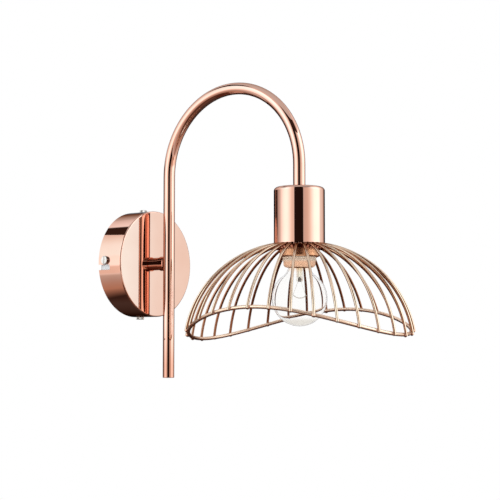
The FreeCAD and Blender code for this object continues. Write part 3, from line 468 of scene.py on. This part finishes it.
def add_piece(name: str, shape: bmesh.types.BMesh, material: bpy.types.Material,
              body: str) -> bpy.types.Object:
    """Turn a finished mesh into a piece that rides on a body of the construction model.

    Args:
        name: The piece's name.
        shape: The mesh, in metres; it is used up.
        material: Its material.
        body: The body that carries it.

    Returns:
        The piece's object.
    """
    bmesh.ops.recalc_face_normals(shape, faces=shape.faces[:])
    for face in shape.faces:
        face.smooth = True
    mesh = bpy.data.meshes.new(name)
    shape.to_mesh(mesh)
    shape.free()
    mesh.materials.append(material)
    piece = bpy.data.objects.new(name, mesh)
    bpy.context.scene.collection.objects.link(piece)
    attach(piece, body)
    LOG.info("piece %s on %s: %d faces", name, body, len(mesh.polygons))
    return piece


def sweep(shape: bmesh.types.BMesh, path: Sequence[Vector], radius: float, sides: int = 6) -> None:
    """Add a round wire along a path, closed at both ends.

    Args:
        shape: The mesh that gets the wire.
        path: Points of the wire's centre line.
        radius: The wire's radius.
        sides: Corners of its section.
    """
    rings = []
    for index, point in enumerate(path):
        ahead = path[min(index + 1, len(path) - 1)]
        behind = path[max(index - 1, 0)]
        turn = (ahead - behind).to_track_quat("Z", "X").to_matrix().to_4x4()
        ends = index in (0, len(path) - 1)
        ring = bmesh.ops.create_circle(shape, cap_ends=ends, segments=sides, radius=radius,
                                       matrix=Matrix.Translation(point) @ turn)
        corners = set(ring["verts"])
        rings.append([edge for edge in shape.edges if edge.verts[0] in corners and edge.verts[1] in corners])
    for low, high in zip(rings, rings[1:]):
        bmesh.ops.bridge_loops(shape, edges=low + high)


@dataclass
class CageWelds:
    """Spot welds of the cage: at the rim, where each rib lies over the wire, and at the hub.

    Sizes are in millimetres and turns in degrees.
    """

    wardrobe: Wardrobe
    axis: tuple[float, float] = (0.0, -180.0)
    ribs: int = 32
    turn: float = 8.5
    arc_offset: float = 7.27
    arc_height: float = -74.49
    arc_radius: float = 85.8
    rim_mean: float = -52.7
    rim_wave: float = 11.5
    rim_lean: float = 1.7
    rim_lean_turn: float = 302.0
    rim_drop: float = 0.35
    rim_inset: float = 0.75
    rim_bead: tuple[float, float, float] = (1.55, 1.75, 1.75)
    hub_radius: float = 21.6
    hub_height: float = 9.9
    hub_bead: tuple[float, float, float] = (0.9, 1.55, 1.1)
    swell_share: float = 0.09
    swell_step: float = 2.4

    def rim_height(self, angle: float) -> float:
        """Height of the rim wire at an angle about the cage's own axis."""
        lean = self.rim_lean * math.cos(angle - math.radians(self.rim_lean_turn))
        return self.rim_mean + self.rim_wave * math.cos(2 * angle) + lean

    def arc_reach(self, height: float, inward: float = 0.0) -> float:
        """Distance of the ribs' arc from the axis at a height, moved inward along its normal."""
        rise = height - self.arc_height
        return self.arc_offset + math.sqrt((self.arc_radius - inward) ** 2 - rise ** 2)

    def bead(self, shape: bmesh.types.BMesh, angle: float, reach: float, height: float,
             size: Sequence[float], lean: float) -> None:
        """One flattened bead.

        Args:
            shape: The mesh that gets the bead.
            angle: Its angle about the cage's own axis.
            reach: Its distance from the axis, in millimetres.
            height: Its height, in millimetres.
            size: Half sizes outward, along the rim and upward, in millimetres.
            lean: Turn about the rim's direction, in radians.
        """
        place = (Matrix.Translation((self.axis[0] * MM, self.axis[1] * MM, 0))
                 @ Matrix.Rotation(angle + math.radians(self.turn), 4, "Z")
                 @ Matrix.Translation((reach * MM, 0, height * MM))
                 @ Matrix.Rotation(lean, 4, "Y")
                 @ Matrix.Diagonal((*[half * MM for half in size], 1)))
        bmesh.ops.create_icosphere(shape, subdivisions=2, radius=1.0, matrix=place)

    def build(self) -> None:
        """Add the welds of the rim and of the hub."""
        rim = bmesh.new()
        hub = bmesh.new()
        for index in range(self.ribs):
            angle = 2 * math.pi * index / self.ribs
            height = self.rim_height(angle) - self.rim_drop
            lean = math.asin((height - self.arc_height) / self.arc_radius)
            swell = 1.0 + self.swell_share * math.sin(index * self.swell_step)
            out, along, up = self.rim_bead
            self.bead(rim, angle, self.arc_reach(height, self.rim_inset), height,
                      (out, along * swell, up * swell), -lean)
            out, along, up = self.hub_bead
            self.bead(hub, angle, self.hub_radius, self.hub_height, (out, along * swell, up), 0.0)
        material = self.wardrobe.material(Finish.WELD)
        add_piece("rim_welds", rim, material, "shade")
        add_piece("hub_welds", hub, material, "shade")


@dataclass
class BulbInside:
    """The bulb's coiled filament, its fine supports, the leads in the stem and the bead that seals them.

    Sizes are in millimetres.
    """

    wardrobe: Wardrobe
    axis: tuple[float, float] = (0.0, -180.0)
    half_span: float = 9.0
    height: float = -31.0
    sag: float = 2.1
    coil_radius: float = 0.38
    wire_radius: float = 0.06
    turns: int = 46
    steps_per_turn: int = 12
    support_radius: float = 0.14
    lead_radius: float = 0.2
    stem_radius: float = 2.6
    stem_bottom: float = -20.0
    seal_rise: float = 2.0
    seal_half: tuple[float, float, float] = (1.1, 0.8, 1.9)

    def coil(self) -> None:
        """Filament: a fine helix that hangs slightly between its supports."""
        shape = bmesh.new()
        start = (Matrix.Translation((-self.half_span, 0, self.coil_radius))
                 @ Matrix.Rotation(math.pi / 2, 4, "X"))
        ring = bmesh.ops.create_circle(shape, segments=5, radius=self.wire_radius, matrix=start)
        edges = [edge for edge in shape.edges if edge.verts[0] in ring["verts"]]
        steps = self.turns * self.steps_per_turn
        bmesh.ops.spin(shape, geom=ring["verts"] + edges, cent=(0, 0, 0), axis=(1, 0, 0),
                       dvec=(2 * self.half_span / steps, 0, 0), angle=2 * math.pi * self.turns,
                       steps=steps, use_duplicate=False)
        bmesh.ops.holes_fill(shape, edges=[edge for edge in shape.edges if edge.is_boundary], sides=5)
        for corner in shape.verts:
            share = corner.co.x / self.half_span
            corner.co.z += self.height - self.sag * (1 - share * share)
        bmesh.ops.translate(shape, vec=(self.axis[0], self.axis[1], 0), verts=shape.verts[:])
        bmesh.ops.scale(shape, vec=(MM, MM, MM), verts=shape.verts[:])
        piece = add_piece("coiled_filament", shape, self.wardrobe.material(Finish.TUNGSTEN), "bulb")
        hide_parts("filament")

    def wires(self) -> None:
        """Supports from the stem to the coil's ends, and the leads that run up inside the stem."""
        supports = bmesh.new()
        leads = bmesh.new()
        for side in (-1, 1):
            root = side * (self.stem_radius + self.support_radius)
            knots = [(side * 1.2, self.stem_bottom + 3.2), (side * 1.9, self.stem_bottom + 1.0),
                     (root, self.stem_bottom - 0.6), (side * 5.6, self.stem_bottom - 5.5),
                     (side * 8.2, self.height + 1.6), (side * (self.half_span + 0.2), self.height + 0.1),
                     (side * (self.half_span - 0.3), self.height - 0.25)]
            sweep(supports, [self.spot(*knot) for knot in knots], self.support_radius * MM)
            sweep(leads, [self.spot(side * 1.2, self.stem_bottom + 3.0), self.spot(side * 1.1, -9.0),
                          self.spot(side * 1.6, 1.5)], self.lead_radius * MM)
        piece = add_piece("fine_supports", supports, self.wardrobe.material(Finish.TUNGSTEN), "bulb")
        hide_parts("filament_supports")
        add_piece("stem_leads", leads, self.wardrobe.material(Finish.TUNGSTEN), "bulb")

    def spot(self, across: float, height: float) -> Vector:
        """A point in the filament's plane, in metres."""
        return Vector(((self.axis[0] + across) * MM, self.axis[1] * MM, height * MM))

    def seal(self) -> None:
        """Dark bead in the pinch of the stem, where the leads pass through the glass."""
        shape = bmesh.new()
        place = (Matrix.Translation(self.spot(0.0, self.stem_bottom + self.seal_rise))
                 @ Matrix.Diagonal((*[half * MM for half in self.seal_half], 1)))
        bmesh.ops.create_uvsphere(shape, u_segments=16, v_segments=10, radius=1.0, matrix=place)
        add_piece("stem_seal", shape, self.wardrobe.material(Finish.SEAL), "bulb")

    def build(self) -> None:
        """Add all the bulb's inner pieces."""
        self.coil()
        self.wires()
        self.seal()


# Studio

@dataclass(frozen=True)
class Stop:
    """Tone of the studio's round wall at one bearing from the camera, seen from the light."""

    bearing: float
    tone: Colour


def grey(bearing: float, level: float) -> Stop:
    """A stop without colour."""
    return Stop(bearing, (level, level, level))


# Tones run above 1, so the ramps hold them divided by this and the cards glow at this strength
TONE_STRENGTH = 2.0

BACK_CARD: Colour = (0.10, 0.05, 0.04)
SIDE_CARD: Colour = (0.03, 0.015, 0.012)
CEILING_CARD: Colour = (0.04, 0.02, 0.015)
CEILING_BACK: Colour = (1.18, 1.22, 1.28)
CEILING_SIDE: Colour = (0.80, 0.68, 0.62)
HIGH_BACK: Colour = (1.02, 1.10, 1.18)
HIGH_BOX: Colour = (1.50, 1.75, 1.85)
FRONT_TONES: tuple[Stop, ...] = (
    Stop(-33.0, (0.93, 0.83, 0.74)), Stop(-24.0, (0.84, 0.76, 0.72)),
    Stop(-22.5, (0.02, 0.01, 0.008)), Stop(15.5, (0.015, 0.008, 0.006)),
    Stop(17.0, (0.64, 0.56, 0.52)), Stop(27.0, (0.71, 0.59, 0.52)), Stop(36.0, (0.79, 0.66, 0.58)),
)


@dataclass
class Studio:
    """White surround, softboxes, dark cards and the camera, in metres.

    The wall's tones go by the bearing from the camera. Over the heights of back_rise they turn into
    the upper tones, and below the heights of foot_rise only foot_share of them is left.
    """

    camera_at: tuple[float, float, float] = (-0.86954, -0.79885, -0.06828)
    looks_at: tuple[float, float, float] = (0.0, -0.12946, 0.00802)
    lens: float = 95.0
    sensor: float = 36.0
    floor_height: float = -0.42
    floor_radius: float = 3.0
    sheet_rise: float = 0.01
    mirrored_level: float = 0.62
    middle: tuple[float, float] = (0.0, -0.12)
    lower_tones: tuple[tuple[float, Colour], ...] = (
        (0.0, (0.16, 0.07, 0.045)), (0.20, (0.10, 0.05, 0.035)), (0.29, (0.04, 0.02, 0.016)),
        (0.33, (0.25, 0.14, 0.10)),
        (0.376, (0.47, 0.27, 0.19)), (0.60, (0.50, 0.40, 0.36)), (0.80, (0.58, 0.50, 0.46)),
        (1.0, (0.95, 0.86, 0.82)),
    )
    lower_back: Colour = (0.07, 0.045, 0.038)
    front_share: tuple[Stop, ...] = (
        grey(-180.0, 0.0), grey(-128.0, 0.0), grey(-116.0, TONE_STRENGTH), grey(125.0, TONE_STRENGTH),
        grey(140.0, 0.0), grey(180.0, 0.0),
    )
    ring_inner: float = 1.0
    wall_radius: float = 1.7
    wall_span: tuple[float, float] = (-1.2, 1.47)
    back_rise: tuple[float, float] = (0.34, 0.44)
    foot_rise: tuple[float, float] = (-0.12, -0.03)
    foot_share: Colour = (0.72, 0.60, 0.54)
    wall_tones: tuple[Stop, ...] = (
        Stop(-180.0, BACK_CARD), Stop(-138.0, SIDE_CARD), Stop(-119.0, SIDE_CARD),
        Stop(-116.0, (0.42, 0.35, 0.33)), Stop(-105.0, (0.63, 0.54, 0.52)),
        Stop(-98.0, (0.73, 0.68, 0.65)), grey(-91.0, 1.0), grey(-79.0, 1.4), grey(-68.0, 1.58),
        grey(-57.0, 1.58), grey(-47.0, 1.33), Stop(-40.0, (1.10, 1.05, 0.98)),
        *FRONT_TONES,
        Stop(46.0, (0.95, 0.90, 0.83)), grey(56.0, 1.27), grey(67.0, 1.65), grey(90.0, 1.8),
        Stop(98.0, (1.20, 1.50, 1.60)), Stop(100.0, (1.06, 1.40, 1.48)),
        Stop(101.2, (1.03, 1.28, 1.36)), Stop(103.0, (0.98, 1.06, 1.06)),
        Stop(108.0, (0.97, 1.00, 0.96)), grey(118.0, 1.05), grey(134.0, 0.95),
        Stop(137.0, BACK_CARD), Stop(180.0, BACK_CARD),
    )
    upper_tones: tuple[Stop, ...] = (
        Stop(-180.0, HIGH_BACK), Stop(-138.0, HIGH_BACK), Stop(-119.0, (0.84, 0.74, 0.70)),
        Stop(-105.0, (0.92, 0.86, 0.82)), Stop(-98.0, (1.0, 1.05, 1.02)),
        Stop(-91.0, (1.08, 1.25, 1.28)), Stop(-79.0, (1.10, 1.40, 1.45)), Stop(-68.0, HIGH_BOX),
        Stop(-57.0, HIGH_BOX), Stop(-47.0, (1.30, 1.45, 1.55)), Stop(-40.0, (1.10, 1.12, 1.10)),
        *FRONT_TONES,
        Stop(46.0, (0.95, 0.95, 0.92)), Stop(56.0, (1.25, 1.38, 1.45)),
        Stop(67.0, (1.55, 1.80, 1.90)), Stop(90.0, (1.70, 1.95, 1.98)), grey(118.0, 1.05),
        Stop(140.0, HIGH_BACK), Stop(180.0, HIGH_BACK),
    )
    ring_tones: tuple[Stop, ...] = (
        Stop(-180.0, CEILING_BACK), Stop(-128.0, CEILING_BACK),
        Stop(-125.0, CEILING_CARD), Stop(-80.0, CEILING_CARD),
        Stop(-72.0, CEILING_SIDE), Stop(-34.0, CEILING_SIDE),
        Stop(-26.0, CEILING_CARD), Stop(58.0, CEILING_CARD),
        Stop(66.0, (0.85, 0.75, 0.70)), Stop(180.0, CEILING_BACK),
    )
    lamp_at: tuple[float, float, float] = (-1.3, -1.0, 1.4)
    lamp_side: float = 1.2
    lamp_power: float = 18.0

    def add_camera(self) -> None:
        """Camera at the photograph's place and lens."""
        data = bpy.data.cameras.new("camera")
        data.lens = self.lens
        data.sensor_width = self.sensor
        data.clip_start = 0.05
        data.clip_end = 50.0
        camera = bpy.data.objects.new("camera", data)
        bpy.context.scene.collection.objects.link(camera)
        camera.location = self.camera_at
        aim = Vector(self.looks_at) - Vector(self.camera_at)
        camera.rotation_euler = aim.to_track_quat("-Z", "Y").to_euler()
        bpy.context.scene.camera = camera

    def glow(self, sheet: Sheet, colour: bpy.types.NodeSocket, strength: float) -> bpy.types.Material:
        """Close a sheet with plain emission.

        Args:
            sheet: The sheet, with the colour's nodes on it.
            colour: The colour.
            strength: The emission's strength.

        Returns:
            The emitting material.
        """
        light = sheet.node("Emission", Color=colour, Strength=strength)
        sheet.tree.links.new(light.outputs["Emission"], sheet.output.inputs["Surface"])
        return sheet.material

    def ramp(self, sheet: Sheet, factor: bpy.types.NodeSocket,
             stops: Sequence[tuple[float, Colour]]) -> bpy.types.NodeSocket:
        """Make a colour that runs through stops.

        Args:
            sheet: The sheet that gets the node.
            factor: Where on the ramp a point is, from 0 to 1.
            stops: Positions on the ramp, each with its tone.

        Returns:
            The colour.
        """
        ramp = sheet.node("ValToRGB", Fac=factor)
        elements = ramp.color_ramp.elements
        while len(elements) > 1:
            elements.remove(elements[-1])
        for index, (position, tone) in enumerate(stops):
            element = elements[0] if index == 0 else elements.new(position)
            element.position = position
            element.color = (*tone, 1.0)
        return ramp.outputs["Color"]

    def bearing_tone(self, sheet: Sheet, stops: Sequence[Stop]) -> bpy.types.NodeSocket:
        """Colour by the bearing from the camera, weakened so that it stays under 1.

        Args:
            sheet: The sheet that gets the nodes.
            stops: Tones by bearing, from -180 to 180 degrees.

        Returns:
            The stops' tones divided by TONE_STRENGTH.
        """
        angle = self.bearing_of_camera()
        ahead = (math.cos(angle), math.sin(angle), 0.0)
        aside = (-math.sin(angle), math.cos(angle), 0.0)
        place = sheet.node("TexCoord").outputs["Object"]
        centred = sheet.node("VectorMath", {"operation": "SUBTRACT"}, _0=place, _1=(*self.middle, 0.0))
        depth, across = (sheet.node("VectorMath", {"operation": "DOT_PRODUCT"},
                                    _0=centred.outputs["Vector"], _1=way) for way in (ahead, aside))
        bearing = sheet.node("Math", {"operation": "ARCTAN2"}, _0=across.outputs["Value"],
                             _1=depth.outputs["Value"])
        share = sheet.between(bearing.outputs["Value"], 0.0, 1.0, -math.pi, math.pi)
        weak = [((stop.bearing + 180) / 360, tuple(level / TONE_STRENGTH for level in stop.tone))
                for stop in stops]
        return self.ramp(sheet, share, weak)

    def wall_glow(self) -> bpy.types.Material:
        """Build the round wall's tones: softboxes and dark cards that run into each other.

        Returns:
            The wall's material, darker at its foot and with tones of its own at its top.
        """
        sheet = Sheet("studio_wall_tone")
        height = sheet.height()
        rise = sheet.between(height, 0.0, 1.0, *self.back_rise)
        middle = self.bearing_tone(sheet, self.wall_tones)
        foot = sheet.node("VectorMath", {"operation": "MULTIPLY"}, _0=middle, _1=self.foot_share)
        low = sheet.blend(sheet.between(height, 0.0, 1.0, *self.foot_rise), foot.outputs["Vector"], middle)
        high = self.bearing_tone(sheet, self.upper_tones)
        return self.glow(sheet, sheet.blend(rise, low, high), TONE_STRENGTH)

    def ring_glow(self) -> bpy.types.Material:
        """Tone of the ceiling ring: dark cards over two sides, pale between them."""
        sheet = Sheet("ceiling_ring_tone")
        return self.glow(sheet, self.bearing_tone(sheet, self.ring_tones), TONE_STRENGTH)

    def lower_glow(self) -> bpy.types.Material:
        """Build the lower sheet's tones: dark at its middle and behind the light, pale at its front edge.

        Returns:
            The sheet's material.
        """
        sheet = Sheet("lower_sheet_tone")
        place = sheet.node("TexCoord").outputs["Object"]
        flat = sheet.node("VectorMath", {"operation": "MULTIPLY_ADD"}, _0=place, _1=(1.0, 1.0, 0.0),
                          _2=(-self.middle[0], -self.middle[1], 0.0))
        away = sheet.node("VectorMath", {"operation": "LENGTH"}, _0=flat.outputs["Vector"])
        share = sheet.between(away.outputs["Value"], 0.0, 1.0, 0.0, self.wall_radius)
        front = self.bearing_tone(sheet, self.front_share)
        shown = sheet.blend(front, self.lower_back, self.ramp(sheet, share, self.lower_tones))
        return self.glow(sheet, shown, 1.0)

    def show_to_metal(self, name: str, shape: bmesh.types.BMesh, material: bpy.types.Material) -> None:
        """Make a studio card that metal mirrors and nothing else sees.

        Args:
            name: The card's name.
            shape: Its mesh; it is used up.
            material: Its material.
        """
        mesh = bpy.data.meshes.new(name)
        shape.to_mesh(mesh)
        shape.free()
        mesh.materials.append(material)
        card = bpy.data.objects.new(name, mesh)
        bpy.context.scene.collection.objects.link(card)
        card.visible_camera = False
        card.visible_diffuse = False
        card.visible_transmission = False
        card.visible_shadow = False

    def bearing_of_camera(self) -> float:
        """Angle about +Z of the way from the light to the camera."""
        return math.atan2(self.camera_at[1] - self.middle[1], self.camera_at[0] - self.middle[0])

    def raise_wall(self) -> None:
        """Round wall of cards and softboxes about the light."""
        low, high = self.wall_span
        shape = bmesh.new()
        bmesh.ops.create_cone(shape, segments=180, radius1=self.wall_radius, radius2=self.wall_radius,
                              depth=high - low,
                              matrix=Matrix.Translation((*self.middle, (low + high) / 2)))
        self.show_to_metal("studio_wall", shape, self.wall_glow())

    def lay_lower_sheet(self) -> None:
        """Round sheet just above the floor that metal mirrors as a dark pool below the light."""
        shape = bmesh.new()
        height = self.floor_height + self.sheet_rise
        bmesh.ops.create_circle(shape, cap_ends=True, segments=96, radius=self.wall_radius,
                                matrix=Matrix.Translation((*self.middle, height)))
        self.show_to_metal("lower_sheet", shape, self.lower_glow())

    def hang_ceiling_ring(self) -> None:
        """Ring above the wall, where the ceiling shows between it and the top light."""
        shape = bmesh.new()
        bmesh.ops.create_circle(shape, segments=96, radius=self.ring_inner)
        edge = bmesh.ops.extrude_edge_only(shape, edges=shape.edges[:])
        outer = [item for item in edge["geom"] if isinstance(item, bmesh.types.BMVert)]
        stretch = self.wall_radius / self.ring_inner
        bmesh.ops.scale(shape, vec=(stretch, stretch, 1), verts=outer)
        bmesh.ops.translate(shape, vec=(*self.middle, self.wall_span[1]), verts=shape.verts[:])
        self.show_to_metal("ceiling_ring", shape, self.ring_glow())

    def lay_floor(self) -> None:
        """Pale round floor that shows white to the camera and keeps the light's soft shadow."""
        mesh = bpy.data.meshes.new("studio_floor")
        shape = bmesh.new()
        bmesh.ops.create_circle(shape, cap_ends=True, segments=96, radius=self.floor_radius,
                                matrix=Matrix.Translation((*self.middle, self.floor_height)))
        shape.to_mesh(mesh)
        shape.free()
        sheet = Sheet("pale_floor")
        rays = sheet.node("LightPath")
        plain = sheet.node("BsdfDiffuse", Color=(0.9, 0.9, 0.9, 1.0))
        white = sheet.node("Emission", Color=(1.0, 1.0, 1.0, 1.0), Strength=1.0)
        shown = sheet.node("Math", {"operation": "MAXIMUM"}, _0=rays.outputs["Is Camera Ray"],
                           _1=rays.outputs["Is Transmission Ray"])
        mixed = sheet.node("MixShader", Fac=shown.outputs[0])
        sheet.tree.links.new(plain.outputs["BSDF"], mixed.inputs[1])
        sheet.tree.links.new(white.outputs["Emission"], mixed.inputs[2])
        sheet.tree.links.new(mixed.outputs["Shader"], sheet.output.inputs["Surface"])
        mesh.materials.append(sheet.material)
        floor = bpy.data.objects.new("studio_floor", mesh)
        bpy.context.scene.collection.objects.link(floor)

    def fill_world(self) -> None:
        """White surround, a little less bright where metal mirrors it."""
        world = bpy.data.worlds.new("white_surround")
        world.use_nodes = True
        tree = world.node_tree
        tree.nodes.clear()
        rays = tree.nodes.new("ShaderNodeLightPath")
        level = tree.nodes.new("ShaderNodeMapRange")
        level.inputs["To Min"].default_value = 1.0
        level.inputs["To Max"].default_value = self.mirrored_level
        mirrored = tree.nodes.new("ShaderNodeMath")
        mirrored.operation = "SUBTRACT"
        mirrored.use_clamp = True
        tree.links.new(rays.outputs["Is Glossy Ray"], mirrored.inputs[0])
        tree.links.new(rays.outputs["Is Transmission Ray"], mirrored.inputs[1])
        tree.links.new(mirrored.outputs["Value"], level.inputs["Value"])
        light = tree.nodes.new("ShaderNodeBackground")
        light.inputs["Color"].default_value = (1.0, 1.0, 1.0, 1.0)
        tree.links.new(level.outputs["Result"], light.inputs["Strength"])
        output = tree.nodes.new("ShaderNodeOutputWorld")
        tree.links.new(light.outputs["Background"], output.inputs["Surface"])
        bpy.context.scene.world = world

    def add_lamp(self) -> None:
        """Soft square lamp, high at the left, aimed at the light."""
        data = bpy.data.lights.new("high_left_lamp", "AREA")
        data.shape = "SQUARE"
        data.size = self.lamp_side
        data.energy = self.lamp_power
        lamp = bpy.data.objects.new("high_left_lamp", data)
        bpy.context.scene.collection.objects.link(lamp)
        lamp.location = self.lamp_at
        aim = Vector((*self.middle, 0.0)) - Vector(self.lamp_at)
        lamp.rotation_euler = aim.to_track_quat("-Z", "Y").to_euler()
        lamp.visible_glossy = False
        lamp.visible_camera = False
        lamp.visible_transmission = False

    def build(self) -> None:
        """Set up the whole studio."""
        bpy.context.scene.view_settings.view_transform = "Standard"
        self.fill_world()
        self.lay_floor()
        self.raise_wall()
        self.lay_lower_sheet()
        self.hang_ceiling_ring()
        self.add_lamp()
        self.add_camera()
        LOG.info("studio with %d tones round its wall", len(self.wall_tones))


def main() -> None:
    """Dress the light, build its modelled pieces and the studio."""
    logging.basicConfig(level=logging.INFO, format="%(message)s")
    wardrobe = Wardrobe()
    for finish, nodes in NODE_FINISHES.items():
        wardrobe.dress(finish, *nodes)
    CageWelds(wardrobe).build()
    BulbInside(wardrobe).build()
    Studio().build()


if __name__ == "__main__":
    main()
